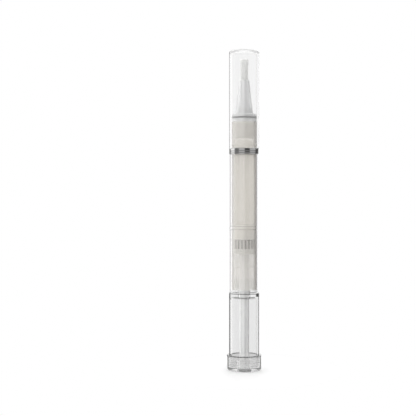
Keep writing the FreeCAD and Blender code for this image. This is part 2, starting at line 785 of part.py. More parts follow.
def feed_pipe():
    length = "(Sizes.pipe_tail + Sizes.disc_height + Sizes.pipe_reach)"
    return turned("feed_pipe", f"{DISC_Z} - Sizes.pipe_tail", [
        (PIPE_BORE_R, ZERO),
        (PIPE_R, ZERO),
        (PIPE_R, length),
        (PIPE_BORE_R, length),
    ])


def brush_tuft():
    exit_z = f"({CONE_TIP_Z} - {ROOT_Z})"
    tip = f"({TUFT_TIP_Z} - {ROOT_Z})"
    hole_top = "(Sizes.pipe_reach + Sizes.slip_clearance)"
    return turned("brush_tuft", ROOT_Z, [
        (PIPE_HOLE_R, ZERO),
        (TUFT_ROOT_R, ZERO),
        (TUFT_ROOT_R, "Sizes.tuft_root_height"),
        (TUFT_R, "Sizes.tuft_root_height"),
        (TUFT_R, exit_z),
        ("Sizes.tuft_tip_diameter / 2", tip, "Sizes.tuft_tip_round"),
        (ZERO, tip),
        (ZERO, hole_top),
        (PIPE_HOLE_R, hole_top),
    ])


pieces = [
    end_knob(),
    driver_tube(),
    click_ring(),
    rear_sleeve(),
    reservoir_tube(),
    barrel_sleeve(),
    trim_ring(),
    ratchet_ring(),
    drive_nut(),
    screw_rod(),
    piston(),
    oil_fill(),
    brush_ferrule(),
    ferrule_seal(),
    tuft_plug(),
    feed_pipe(),
    brush_tuft(),
    cap_shell(),
]
doc.recompute()

failed = [item.Name for item in doc.Objects if "Invalid" in item.State or "Error" in item.State]
if failed:
    raise ValueError(f"these features failed: {failed}")
for piece in pieces:
    if piece.Shape.isNull() or not piece.Shape.isValid() or len(piece.Shape.Solids) != 1:
        raise ValueError(f"{piece.Label} is not one valid solid")

os.makedirs("parts", exist_ok=True)
for piece in pieces:
    piece.Shape.exportStep(os.path.join("parts", f"{piece.Label}.step"))
    box = piece.Shape.optimalBoundingBox()
    print(f"{piece.Label}: {box.ZMin:.2f} to {box.ZMax:.2f} high, {box.XLength:.2f} across, "
          f"{piece.Shape.Volume:.1f} mm3")
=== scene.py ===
import math
import random

import bmesh
import bpy
from mathutils import Matrix, Vector


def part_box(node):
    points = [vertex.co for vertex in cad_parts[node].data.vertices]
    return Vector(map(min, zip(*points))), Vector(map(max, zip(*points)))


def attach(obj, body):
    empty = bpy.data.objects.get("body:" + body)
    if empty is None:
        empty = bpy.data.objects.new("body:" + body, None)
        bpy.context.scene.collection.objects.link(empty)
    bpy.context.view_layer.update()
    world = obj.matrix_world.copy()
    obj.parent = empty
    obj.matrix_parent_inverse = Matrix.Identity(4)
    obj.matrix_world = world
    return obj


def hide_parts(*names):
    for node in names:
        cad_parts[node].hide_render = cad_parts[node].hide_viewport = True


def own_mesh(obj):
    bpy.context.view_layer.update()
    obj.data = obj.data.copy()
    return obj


# Nail oil pen in clear plastic, standing on its knob: finishes for the solids, and the fine pieces
# that the solids leave plain: bristles, the screw's thread and the oil.

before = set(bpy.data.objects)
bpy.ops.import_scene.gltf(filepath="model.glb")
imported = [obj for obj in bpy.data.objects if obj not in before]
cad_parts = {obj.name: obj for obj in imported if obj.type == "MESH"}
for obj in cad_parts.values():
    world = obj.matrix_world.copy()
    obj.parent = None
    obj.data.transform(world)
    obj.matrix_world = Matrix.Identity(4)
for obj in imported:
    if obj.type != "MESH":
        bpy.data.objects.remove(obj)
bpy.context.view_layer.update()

MM = 0.001
UP = Vector((0, 0, 1))
FRONT = Vector((0, -1, 0))
ORIGIN = Vector((0, 0, 0))
FULL_TURN = 2 * math.pi
GOLDEN_TURN = math.pi * (3 - math.sqrt(5))

# Bristles
FILAMENT_COUNT = 260
FILAMENT_SIDES = 5
FILAMENT_RADIUS = 0.07 * MM
FILAMENT_TIP_SHARE = 0.5
FILAMENT_BEND_SHARE = 0.35
TUFT_STEM_RADIUS = 1.65 * MM
TUFT_TIP_RADIUS = 1.83 * MM
TUFT_TIP_CROWN = 0.06 * MM
TUFT_TIP_SCATTER = 0.1 * MM
TUFT_ROOT_HEIGHT = 1.2 * MM
PIPE_CLEARANCE = 0.1 * MM
WANDER_MIDDLE_SHARE = 0.25
WANDER_TIP_SHARE = 0.5
TUFT_SEED = 11

# Screw rod
THREAD_LEAD = 2.0 * MM
THREAD_ROOT_RADIUS = 1.12 * MM
THREAD_CREST_RADIUS = 1.5 * MM
THREAD_CREST_SHARE = 0.3
THREAD_FLANK_SHARE = 0.2
THREAD_STEPS = 24
ROD_FLATS = 2.3 * MM
ROD_PIN_RADIUS = 1.1 * MM
ROD_BEAD_RADIUS = 1.35 * MM
ROD_BEAD_HEIGHT = 1.0 * MM
ROD_BEAD_DROP = 0.7 * MM
ROD_PIN_OVERLAP = 0.3 * MM

# Oil
OIL_EDGE_ROUND = 0.12 * MM

# Turned and welded meshes
TURNED_STEPS = 72
WELD_DISTANCE = 0.001 * MM

# Places on the pieces that are finished apart from the rest, most of them with painted shade
BAND_LINE_LIFTS = (27.4 * MM, 28.9 * MM)
BAND_LINE_REACH = 0.2 * MM
RING_GROOVE_LIFTS = (0.55 * MM, 1.4 * MM)
RING_GROOVE_REACH = 0.24 * MM
EDGE_REACH = 0.3 * MM
MOUTH_REACH = 0.45 * MM
GATE_RADIUS = 2.65 * MM
GATE_HEIGHT = 1.0 * MM
SPOT_BLUR = 0.05 * MM
OUTER_SKIN = 0.85 * MM
KNOB_REACH = 8.0 * MM
HUB_RADIUS = 3.6 * MM
HUB_HEIGHT = 7.0 * MM
WEB_HEIGHT = 32.7 * MM
WEB_REACH = 1.6 * MM
SHOULDER_HEIGHT = 33.65 * MM
BOSS_HEIGHT = 31.6 * MM
BOSS_RADIUS = 5.0 * MM
RIB_ROOT_RADIUS = 4.6 * MM
RIB_CREST_RADIUS = 4.8 * MM

# How clear walls look: where they count as turned from the eye and take the painted shade of their
# outline, and what light they pass
ROUNDING_SPAN = (0.05, 0.3)
ROUNDING_SHARE = 0.6
FLAT_SPAN = (0.96, 0.99)
SOFT_RIM_SPAN = (0.62, 0.85)
SHARP_RIM_SPAN = (0.55, 0.64)
MILKY_LIMB_SPAN = (0.42, 0.72)
MILKY_COVER = (0.3, 0.9)
LIT_SHARE = 0.985
CAUGHT_AFTER = 6.5
CAP_FREED_SHARE = 0.7

# Moulding and handling marks
FLOW_SCALE = 120.0
GRAIN_SCALE = 2600.0
PLATE_GRAIN_SCALE = 5200.0
MARK_STRETCH = 9.0
MARK_SPAN = (0.55, 0.75)
SLEEVE_MARK_SCALE = 180.0
PLATE_MARK_SCALE = 260.0
LINE_FADE = (0.5, 1.0)
BUMP_DEPTH = 0.02 * MM
GRAIN_RELIEF = 0.12
FAINT_RELIEF = 0.1
CLEAR_ROUGHNESS = (0.008, 0.03)
PLATE_ROUGHNESS = (0.06, 0.16)
ROUGHNESS_SPREAD = 0.08
GATE_MATTNESS = 20.0

# Tints
MILKY_FACE = (0.64, 0.62, 0.585)
MILKY_LIMB_SHADE = (0.30, 0.275, 0.25)
MILKY_PASSED = (0.9, 0.89, 0.87)
CONE_TINT = (0.85, 0.852, 0.852)
PLUG_SHADE_TINT = (0.55, 0.54, 0.52)
SHAFT_TINT = (0.84, 0.84, 0.84)
FOOT_PAINTED_LIGHT_TINT = (1.0, 1.0, 1.0)
RIB_CREST_TINT = (0.62, 0.61, 0.60)
RIB_ROOT_PAINTED_SHADE = (0.005, 0.005, 0.005)
PLATE_TINTS = (0.40, 0.40, 0.395, 1), (0.44, 0.435, 0.43, 1)
PLATE_GROOVE_SHADE = 0.2
FILAMENT_TINTS = (0.94, 0.94, 0.93), (1.0, 1.0, 0.99)
FILAMENT_PASSED = (0.8, 0.8, 0.8)
OIL_TINTS = (0.79, 0.77, 0.725), (0.83, 0.81, 0.765)
OIL_PASSED = (0.90, 0.885, 0.85)
SEAL_SHADE_TINTS = (0.33, 0.33, 0.325), (0.29, 0.29, 0.285)
WHITE_TINTS = (0.84, 0.84, 0.82), (0.80, 0.80, 0.78)
STEEL_TINTS = (0.58, 0.58, 0.59), (0.50, 0.50, 0.51)
PISTON_TINTS = (0.93, 0.91, 0.87), (0.90, 0.88, 0.84)
ROD_TINTS = (0.80, 0.80, 0.78), (0.74, 0.74, 0.72)
FLOOR_TINTS = (0.90, 0.90, 0.90), (0.92, 0.92, 0.92)

# Camera, from the photograph's perspective
IMAGE_WIDTH = 416
FOCAL_PIXELS = 1003
SENSOR_WIDTH = 36
CAMERA_DISTANCE = 440 * MM
CAMERA_HEIGHT = 71 * MM
CAMERA_SIDE = -15.9 * MM

# Floor
FLOOR_RADIUS = 42 * MM
FLOOR_DROP = 0.02 * MM


# Meshes

def weld(bm):
    """Merges doubled points and turns every face outwards."""
    bmesh.ops.remove_doubles(bm, verts=bm.verts, dist=WELD_DISTANCE)
    bmesh.ops.recalc_face_normals(bm, faces=bm.faces)


def profile_edges(bm, points, closed=False):
    """A chain of edges through points given as (radius, height)."""
    verts = [bm.verts.new((radius, 0, height)) for radius, height in points]
    pairs = list(zip(verts, verts[1:]))
    if closed:
        pairs.append((verts[-1], verts[0]))
    return verts + [bm.edges.new(pair) for pair in pairs]


def turn_round(bm, points, closed=False):
    """Turns a profile once about the pen's axis."""
    bmesh.ops.spin(
        bm,
        geom=profile_edges(bm, points, closed),
        cent=ORIGIN,
        axis=UP,
        angle=FULL_TURN,
        steps=TURNED_STEPS,
        use_merge=True,
    )


def cut_away(bm, point, outwards):
    """Cuts off what lies beyond a plane and closes the cut."""
    everything = bm.verts[:] + bm.edges[:] + bm.faces[:]
    bmesh.ops.bisect_plane(
        bm,
        geom=everything,
        dist=WELD_DISTANCE,
        plane_co=point,
        plane_no=outwards,
        clear_outer=True,
    )
    rims = [edge for edge in bm.edges if edge.is_boundary]
    bmesh.ops.holes_fill(bm, edges=rims, sides=0)


def finished_piece(name, bm, material, body, node, smooth=True):
    """Makes the mesh a piece that rides on a body and stands for a node."""
    mesh = bpy.data.meshes.new(name)
    bm.to_mesh(mesh)
    bm.free()
    mesh.materials.append(material)
    mesh.polygons.foreach_set("use_smooth", [smooth] * len(mesh.polygons))
    piece = bpy.data.objects.new(name, mesh)
    bpy.context.scene.collection.objects.link(piece)
    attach(piece, body)
    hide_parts(node)
    return piece


# Fine pieces

def filament_path(index, low, mouth, pipe, scatter):
    """The points that one bristle runs through, from the fused root to its tip."""
    share = (index + 0.5) / FILAMENT_COUNT
    turn = index * GOLDEN_TURN
    outwards = Vector((math.cos(turn), math.sin(turn), 0))
    hole = pipe.x + PIPE_CLEARANCE
    beside_pipe = math.sqrt(hole ** 2 + share * (TUFT_STEM_RADIUS ** 2 - hole ** 2))
    root_z = low.z + TUFT_ROOT_HEIGHT / 2
    tip_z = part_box("brush_tuft")[1].z - TUFT_TIP_CROWN * share - scatter.random() * TUFT_TIP_SCATTER
    tip = outwards * TUFT_TIP_RADIUS * math.sqrt(share)
    wander = Vector((scatter.uniform(-1, 1), scatter.uniform(-1, 1), 0)) * TUFT_TIP_SCATTER
    middle_z = (mouth + tip_z) / 2
    stem = outwards * TUFT_STEM_RADIUS * math.sqrt(share)
    return [
        outwards * beside_pipe + UP * root_z,
        outwards * beside_pipe + UP * pipe.z,
        stem + UP * mouth,
        stem.lerp(tip, FILAMENT_BEND_SHARE) + wander * WANDER_MIDDLE_SHARE + UP * middle_z,
        tip + wander * WANDER_TIP_SHARE + UP * (tip_z - TUFT_TIP_SCATTER),
        tip + wander * WANDER_TIP_SHARE + UP * tip_z,
    ]


def grow_filament(bm, path, tone, shade):
    """One bristle: a ring pushed along its path, drawn in at the tip and closed."""
    ring = bmesh.ops.create_circle(
        bm, cap_ends=True, segments=FILAMENT_SIDES, radius=FILAMENT_RADIUS,
        matrix=Matrix.Translation(path[0]),
    )
    made = list(ring["verts"])
    verts = set(made)
    for here, there in zip(path, path[1:]):
        rim = {edge for vert in verts for edge in vert.link_edges if edge.other_vert(vert) in verts}
        grown = bmesh.ops.extrude_edge_only(bm, edges=list(rim))["geom"]
        verts = {item for item in grown if isinstance(item, bmesh.types.BMVert)}
        bmesh.ops.translate(bm, verts=list(verts), vec=there - here)
        made += verts
    bmesh.ops.scale(
        bm, verts=list(verts), vec=Vector((1, 1, 1)) * FILAMENT_TIP_SHARE,
        space=Matrix.Translation(-path[-1]),
    )
    rim = {edge for vert in verts for edge in vert.link_edges if edge.other_vert(vert) in verts}
    bmesh.ops.contextual_create(bm, geom=list(rim))
    for vert in made:
        vert[tone] = shade


def bristle_tuft(material):
    """The tuft as separate bristles standing in their fused root."""
    low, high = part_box("brush_tuft")
    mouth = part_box("brush_ferrule")[1].z
    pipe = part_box("feed_pipe")[1]
    scatter = random.Random(TUFT_SEED)
    bm = bmesh.new()
    tone = bm.verts.layers.float.new("filament_tone")
    turn_round(bm, [
        (pipe.x + PIPE_CLEARANCE / 2, low.z),
        (high.x, low.z),
        (high.x, low.z + TUFT_ROOT_HEIGHT),
        (pipe.x + PIPE_CLEARANCE / 2, low.z + TUFT_ROOT_HEIGHT),
    ], closed=True)
    for index in range(FILAMENT_COUNT):
        path = filament_path(index, low, mouth, pipe, scatter)
        grow_filament(bm, path, tone, scatter.random())
    bmesh.ops.recalc_face_normals(bm, faces=bm.faces)
    return finished_piece("bristle_tuft", bm, material, "barrel", "brush_tuft")


def threaded_rod(material):
    """The screw: a right-hand thread with two flats, and the beaded pin that holds the piston."""
    low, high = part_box("screw_rod")
    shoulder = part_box("piston")[0].z
    turns = math.ceil((shoulder - low.z) / THREAD_LEAD) + 2
    flank = THREAD_LEAD * THREAD_FLANK_SHARE
    crest = THREAD_LEAD * THREAD_CREST_SHARE
    start = low.z - THREAD_LEAD
    bm = bmesh.new()
    bmesh.ops.spin(
        bm,
        geom=profile_edges(bm, [
            (THREAD_ROOT_RADIUS, start),
            (THREAD_CREST_RADIUS, start + flank),
            (THREAD_CREST_RADIUS, start + flank + crest),
            (THREAD_ROOT_RADIUS, start + 2 * flank + crest),
            (THREAD_ROOT_RADIUS, start + THREAD_LEAD),
        ]),
        cent=ORIGIN,
        axis=UP,
        angle=FULL_TURN * turns,
        steps=THREAD_STEPS * turns,
        dvec=UP * THREAD_LEAD / THREAD_STEPS,
    )
    weld(bm)
    cut_away(bm, UP * low.z, -UP)
    cut_away(bm, UP * shoulder, UP)
    for outwards in (FRONT, -FRONT):
        cut_away(bm, outwards * ROD_FLATS / 2, outwards)
    bead_top = high.z - ROD_BEAD_DROP
    bead_rise = ROD_BEAD_RADIUS - ROD_PIN_RADIUS
    turn_round(bm, [
        (0, shoulder - ROD_PIN_OVERLAP),
        (ROD_PIN_RADIUS, shoulder - ROD_PIN_OVERLAP),
        (ROD_PIN_RADIUS, bead_top - ROD_BEAD_HEIGHT),
        (ROD_BEAD_RADIUS, bead_top - ROD_BEAD_HEIGHT + bead_rise),
        (ROD_BEAD_RADIUS, bead_top - bead_rise),
        (ROD_PIN_RADIUS, bead_top),
        (ROD_PIN_RADIUS, high.z),
        (0, high.z),
    ])
    weld(bm)
    return finished_piece(
        "threaded_rod", bm, material, "rod", "screw_rod", smooth=False,
    )


def oil_column(material):
    """The oil between the piston and the ferrule, which shortens as the piston comes up."""
    low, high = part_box("oil_fill")
    bm = bmesh.new()
    turn_round(bm, [
        (0, low.z),
        (high.x - OIL_EDGE_ROUND, low.z),
        (high.x, low.z + OIL_EDGE_ROUND),
        (high.x, high.z - OIL_EDGE_ROUND),
        (high.x - OIL_EDGE_ROUND, high.z),
        (0, high.z),
    ])
    weld(bm)
    column = finished_piece("oil_column", bm, material, "barrel", "oil_fill", smooth=False)
    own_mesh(column)
    return column


# Shader nodes

def grey(level):
    return (level, level, level, 1)


def add(tree, kind, inputs=None, **settings):
    """Adds a node; inputs are plain values, or sockets to link from."""
    node = tree.nodes.new(kind)
    for name, value in settings.items():
        setattr(node, name, value)
    for name, value in (inputs or {}).items():
        if isinstance(value, bpy.types.NodeSocket):
            tree.links.new(value, node.inputs[name])
        else:
            node.inputs[name].default_value = value
    return node


def blend(tree, share, first, second):
    """A colour between two, each a plain colour or a socket."""
    inputs = {"Factor": share, "A": first, "B": second}
    return add(tree, "ShaderNodeMix", inputs, data_type="RGBA").outputs["Result"]


def work_out(tree, operation, first, second=0.0):
    return add(tree, "ShaderNodeMath", {0: first, 1: second}, operation=operation).outputs["Value"]


def ramp(tree, value, start, full, low=0.0, high=1.0):
    """A value that eases from one level to another as the given one goes from start to full."""
    return add(tree, "ShaderNodeMapRange", {
        "Value": value, "From Min": start, "From Max": full, "To Min": low, "To Max": high,
    }, interpolation_type="SMOOTHSTEP").outputs["Result"]


def new_group(name, inputs, outputs):
    """An empty shader group with its sockets, and its input and output nodes."""
    group = bpy.data.node_groups.new(name, "ShaderNodeTree")
    for socket, kind in inputs:
        group.interface.new_socket(socket, in_out="INPUT", socket_type=kind)
    for socket in outputs:
        group.interface.new_socket(socket, in_out="OUTPUT", socket_type="NodeSocketFloat")
    return group, group.nodes.new("NodeGroupInput"), group.nodes.new("NodeGroupOutput")


def moulding_group():
    """Slow flow shading and fine grain, as moulded plastic has."""
    group, given, result = new_group(
        "moulding",
        [
            ("Place", "NodeSocketVector"),
            ("Flow Scale", "NodeSocketFloat"),
            ("Grain Scale", "NodeSocketFloat"),
        ],
        ["Flow", "Grain"],
    )
    flow = add(group, "ShaderNodeTexNoise", {
        "Vector": given.outputs["Place"], "Scale": given.outputs["Flow Scale"], "Detail": 2.0,
    })
    grain = add(group, "ShaderNodeTexNoise", {
        "Vector": given.outputs["Place"], "Scale": given.outputs["Grain Scale"], "Detail": 4.0,
    })
    group.links.new(flow.outputs["Fac"], result.inputs["Flow"])
    group.links.new(grain.outputs["Fac"], result.inputs["Grain"])
    return group


def handling_group():
    """Fine rubbed lines round the pen, as caps and sleeves pick up in use."""
    group, given, result = new_group(
        "handling",
        [("Place", "NodeSocketVector"), ("Scale", "NodeSocketFloat")],
        ["Marks"],
    )
    drawn = add(group, "ShaderNodeMapping", {
        "Vector": given.outputs["Place"], "Scale": (1.0, 1.0, MARK_STRETCH),
    })
    lines = add(group, "ShaderNodeTexNoise", {
        "Vector": drawn.outputs["Vector"], "Scale": given.outputs["Scale"], "Detail": 3.0,
    })
    group.links.new(ramp(group, lines.outputs["Fac"], *MARK_SPAN), result.inputs["Marks"])
    return group


def ring_line_group():
    """A line round the pen at one height, such as a groove or the edge of a mouth."""
    group, given, result = new_group(
        "ring_line",
        [("Place", "NodeSocketVector"), ("Height", "NodeSocketFloat"), ("Reach", "NodeSocketFloat")],
        ["Line"],
    )
    height = add(group, "ShaderNodeSeparateXYZ", {"Vector": given.outputs["Place"]}).outputs["Z"]
    away = work_out(group, "SUBTRACT", height, given.outputs["Height"])
    away = work_out(group, "ABSOLUTE", away)
    away = work_out(group, "DIVIDE", away, given.outputs["Reach"])
    group.links.new(ramp(group, away, *LINE_FADE, 1.0, 0.0), result.inputs["Line"])
    return group


def round_reach_group():
    """How far a place lies from the pen's axis."""
    group, given, result = new_group("round_reach", [("Place", "NodeSocketVector")], ["Radius"])
    flat = add(group, "ShaderNodeVectorMath", {
        0: given.outputs["Place"], 1: (1, 1, 0),
    }, operation="MULTIPLY")
    reach = add(group, "ShaderNodeVectorMath", {0: flat.outputs["Vector"]}, operation="LENGTH")
    group.links.new(reach.outputs["Value"], result.inputs["Radius"])
    return group


MOULDING = moulding_group()
HANDLING = handling_group()
RING_LINE = ring_line_group()
ROUND_REACH = round_reach_group()


class Finish:
    """A material with one Principled shader, and its moulding marks."""

    def __init__(self, name, sockets, flow_scale=FLOW_SCALE, grain_scale=GRAIN_SCALE):
        self.material = bpy.data.materials.new(name)
        self.material.use_nodes = True
        self.tree = self.material.node_tree
        self.tree.nodes.clear()
        self.output = add(self.tree, "ShaderNodeOutputMaterial")
        self.shader = add(self.tree, "ShaderNodeBsdfPrincipled", sockets)
        self.tree.links.new(self.shader.outputs["BSDF"], self.output.inputs["Surface"])
        self.place = add(self.tree, "ShaderNodeTexCoord").outputs["Object"]
        moulding = self.effect(MOULDING, {"Flow Scale": flow_scale, "Grain Scale": grain_scale})
        self.flow = moulding["Flow"]
        self.grain = moulding["Grain"]

    def effect(self, group, values):
        """Places one of the shared effects on this surface."""
        inputs = {"Place": self.place, **values}
        return add(self.tree, "ShaderNodeGroup", inputs, node_tree=group).outputs

    def feed(self, socket, name):
        self.tree.links.new(socket, self.shader.inputs[name])

    def tint(self, share, first, second):
        """Shades the surface between two tints."""
        self.feed(blend(self.tree, share, (*first, 1), (*second, 1)), "Base Color")

    def roughen(self, value, low, high):
        """Spreads the roughness between two levels."""
        level = add(self.tree, "ShaderNodeMapRange", {"Value": value, "To Min": low, "To Max": high})
        self.feed(level.outputs["Result"], "Roughness")

    def emboss(self, height, strength):
        bump = add(self.tree, "ShaderNodeBump", {
            "Height": height, "Strength": strength, "Distance": BUMP_DEPTH,
        })
        self.feed(bump.outputs["Normal"], "Normal")

    def outline(self, start, full, inside=0.0):
        """Where upright walls beyond a radius turn from the eye: the mask for painted shade along the
        outline, where light also has more plastic to cross.
        """
        slant = add(self.tree, "ShaderNodeLayerWeight", {"Blend": 0.5}).outputs["Facing"]
        normal = add(self.tree, "ShaderNodeNewGeometry").outputs["Normal"]
        rise = add(self.tree, "ShaderNodeSeparateXYZ", {"Vector": normal}).outputs["Z"]
        level = work_out(self.tree, "ABSOLUTE", rise)
        upright = ramp(self.tree, level, *ROUNDING_SPAN, 1.0, ROUNDING_SHARE)
        sloped = ramp(self.tree, level, *FLAT_SPAN, 1.0, 0.0)
        upright = work_out(self.tree, "MULTIPLY", upright, sloped)
        turned = work_out(self.tree, "MULTIPLY", ramp(self.tree, slant, start, full), upright)
        reach = self.effect(ROUND_REACH, {})["Radius"]
        outer = work_out(self.tree, "GREATER_THAN", reach, inside)
        return work_out(self.tree, "MULTIPLY", turned, outer)

    def lines(self, heights, reach):
        """Lines round the pen at several heights."""
        most = 0.0
        for height in heights:
            mark = self.effect(RING_LINE, {"Height": height, "Reach": reach})["Line"]
            most = work_out(self.tree, "MAXIMUM", most, mark)
        return most

    def inner_lines(self, heights, reach, radius):
        """Lines round the pen at several heights, nearer its axis than a radius."""
        within = work_out(self.tree, "LESS_THAN", self.effect(ROUND_REACH, {})["Radius"], radius)
        return work_out(self.tree, "MULTIPLY", self.lines(heights, reach), within)

    def spot_under(self, radius, height):
        """The surface near the axis below a height, such as a recess under the knob."""
        reach = self.effect(ROUND_REACH, {})["Radius"]
        rise = add(self.tree, "ShaderNodeSeparateXYZ", {"Vector": self.place}).outputs["Z"]
        within = ramp(self.tree, reach, radius, radius + SPOT_BLUR, 1.0, 0.0)
        below = ramp(self.tree, rise, height, height + SPOT_BLUR, 1.0, 0.0)
        return work_out(self.tree, "MULTIPLY", within, below)

    def let_light_through(self, tint, freed=LIT_SHARE):
        """Lets lamps light what lies behind, and frees light that is caught inside a wall."""
        path = add(self.tree, "ShaderNodeLightPath").outputs
        caught = work_out(self.tree, "GREATER_THAN", path["Ray Depth"], CAUGHT_AFTER)
        through = work_out(self.tree, "MAXIMUM", path["Is Shadow Ray"], caught)
        passed = blend(self.tree, caught, (*tint, 1), grey(freed))
        clear = add(self.tree, "ShaderNodeBsdfTransparent", {"Color": passed})
        mix = add(self.tree, "ShaderNodeMixShader", {"Fac": through})
        self.tree.links.new(self.shader.outputs["BSDF"], mix.inputs[1])
        self.tree.links.new(clear.outputs["BSDF"], mix.inputs[2])
        self.tree.links.new(mix.outputs["Shader"], self.output.inputs["Surface"])


# Finishes

class ClearFinish(Finish):
    """Clear plastic with painted shade along its outline, far darker than the longer path through the
    plastic there makes it.

    Clearness is the share of light that one wall lets through, and rim that at the outline, where it is
    painted shade. Freed is the share that light caught inside a wall keeps at each surface that it then
    crosses.
    """

    def __init__(self, node, clearness, index, rim, rim_span, freed=LIT_SHARE):
        super().__init__(f"clear_{node}", {"IOR": index, "Transmission Weight": 1.0, "Metallic": 0.0})
        self.edge = self.outline(*rim_span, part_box(node)[1].x - OUTER_SKIN)
        # Painted shade: the wall's tint falls to the rim level along its outline
        self.shade = blend(self.tree, self.edge, grey(clearness), grey(rim))
        self.matt = self.effect(HANDLING, {"Scale": SLEEVE_MARK_SCALE})["Marks"]
        self.emboss(self.flow, FAINT_RELIEF)
        self.let_light_through((LIT_SHARE, LIT_SHARE, LIT_SHARE), freed)

    def darken(self, mask, level):
        """Sets the wall's tint to a level where the mask is; most calls paint shade with it, along lines,
        edges and a recess.
        """
        self.shade = blend(self.tree, mask, self.shade, grey(level))

    def dull(self, mask, strength):
        """Makes the surface matt where the mask is."""
        added = work_out(self.tree, "MULTIPLY", mask, strength)
        self.matt = work_out(self.tree, "ADD", self.matt, added)

    def done(self):
        self.feed(self.shade, "Base Color")
        polished, rubbed = CLEAR_ROUGHNESS
        rough = add(self.tree, "ShaderNodeMapRange", {
            "Value": self.matt, "To Min": polished, "To Max": rubbed,
        }, clamp=False)
        self.feed(rough.outputs["Result"], "Roughness")
        return self.material


def moulded_plastic(name, tint, deeper, roughness):
    finish = Finish(name, {"Metallic": 0.0})
    finish.tint(finish.flow, tint, deeper)
    finish.roughen(finish.grain, roughness - ROUGHNESS_SPREAD, roughness + ROUGHNESS_SPREAD)
    finish.emboss(finish.grain, GRAIN_RELIEF)
    return finish.material


def ribbed_plastic(name, crest, root):
    """Plastic of the nut, with painted shade between its ribs."""
    finish = Finish(name, {"Metallic": 0.0})
    reach = finish.effect(ROUND_REACH, {})["Radius"]
    finish.tint(ramp(finish.tree, reach, RIB_ROOT_RADIUS, RIB_CREST_RADIUS), root, crest)
    finish.roughen(finish.grain, low=0.35, high=0.5)
    finish.emboss(finish.grain, GRAIN_RELIEF)
    return finish.material


def milky_plastic(name, tint, deeper):
    """Translucent plastic, with painted shade where the eye looks along its wall, which is also less
    see-through there.
    """
    finish = Finish(name, {"Metallic": 0.0, "Coat Weight": 1.0, "Coat Roughness": 0.08})
    limb = finish.outline(*MILKY_LIMB_SPAN)
    finish.tint(limb, tint, deeper)
    finish.feed(ramp(finish.tree, limb, 0.0, 1.0, *MILKY_COVER), "Alpha")
    finish.let_light_through(MILKY_PASSED)
    finish.roughen(finish.grain, low=0.25, high=0.4)
    finish.emboss(finish.grain, FAINT_RELIEF)
    return finish.material


def ferrule_plastic(name, cone, plug):
    """Translucent plastic of the brush's cone, with painted shade on the plug that stands in the
    reservoir.
    """
    finish = Finish(name, {
        "Metallic": 0.0, "Transmission Weight": 0.75, "IOR": 1.49,
        "Coat Weight": 1.0, "Coat Roughness": 0.08, "Coat IOR": 2.0,
    })
    height = add(finish.tree, "ShaderNodeSeparateXYZ", {"Vector": finish.place}).outputs["Z"]
    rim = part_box("reservoir_tube")[1].z
    finish.tint(ramp(finish.tree, height, rim - MM, rim), plug, cone)
    finish.roughen(finish.grain, low=0.22, high=0.38)
    finish.emboss(finish.grain, GRAIN_RELIEF)
    finish.let_light_through(cone)
    return finish.material


def driver_plastic(name, shaft, foot):
    """Translucent plastic of the driver tube, with painted light on the foot that the knob holds."""
    finish = Finish(name, {
        "Metallic": 0.0, "Transmission Weight": 0.45, "IOR": 1.49,
        "Coat Weight": 1.0, "Coat Roughness": 0.05, "Coat IOR": 3.0,
    })
    height = add(finish.tree, "ShaderNodeSeparateXYZ", {"Vector": finish.place}).outputs["Z"]
    finish.tint(ramp(finish.tree, height, HUB_HEIGHT, HUB_HEIGHT + MM), foot, shaft)
    finish.roughen(finish.grain, low=0.17, high=0.33)
    finish.emboss(finish.grain, GRAIN_RELIEF)
    finish.let_light_through(foot)
    return finish.material


def plated_trim(name):
    finish = Finish(name, {"Metallic": 1.0}, grain_scale=PLATE_GRAIN_SCALE)
    low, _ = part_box("trim_ring")
    # Painted shade in the ring's two grooves
    groove_shade = finish.lines([low.z + lift for lift in RING_GROOVE_LIFTS], RING_GROOVE_REACH)
    plate = blend(finish.tree, finish.flow, *PLATE_TINTS)
    finish.feed(blend(finish.tree, groove_shade, plate, grey(PLATE_GROOVE_SHADE)), "Base Color")
    finish.roughen(finish.effect(HANDLING, {"Scale": PLATE_MARK_SCALE})["Marks"], *PLATE_ROUGHNESS)
    return finish.material


def nylon_filament(name):
    finish = Finish(name, {"Metallic": 0.0, "Transmission Weight": 0.5, "IOR": 1.53})
    tone = add(finish.tree, "ShaderNodeAttribute", attribute_name="filament_tone").outputs["Fac"]
    finish.tint(tone, *FILAMENT_TINTS)
    finish.roughen(tone, low=0.3, high=0.5)
    finish.let_light_through(FILAMENT_PASSED)
    return finish.material


def clear_oil(name):
    finish = Finish(name, {"IOR": 1.46, "Transmission Weight": 1.0, "Roughness": 0.0, "Metallic": 0.0})
    finish.tint(finish.flow, *OIL_TINTS)
    finish.let_light_through(OIL_PASSED)
    return finish.material


def dress(material, *nodes):
    """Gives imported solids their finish."""
    for node in nodes:
        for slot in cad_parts[node].material_slots:
            slot.material = material


def clear_cap():
    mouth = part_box("cap_shell")[0].z
    finish = ClearFinish(
        "cap_shell", clearness=0.95, index=1.2, rim=0.12, rim_span=SOFT_RIM_SPAN, freed=CAP_FREED_SHARE,
    )
    # Painted shade along the cap's mouth edge
    finish.darken(finish.lines([mouth], EDGE_REACH), level=0.9)
    return finish.done()


def clear_barrel():
    low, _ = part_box("barrel_sleeve")
    finish = ClearFinish("barrel_sleeve", clearness=0.93, index=1.35, rim=0.12, rim_span=SOFT_RIM_SPAN)
    # Painted shade in the two lines of the raised band
    band_line_shade = finish.lines([low.z + lift for lift in BAND_LINE_LIFTS], BAND_LINE_REACH)
    finish.darken(band_line_shade, level=0.66)
    return finish.done()


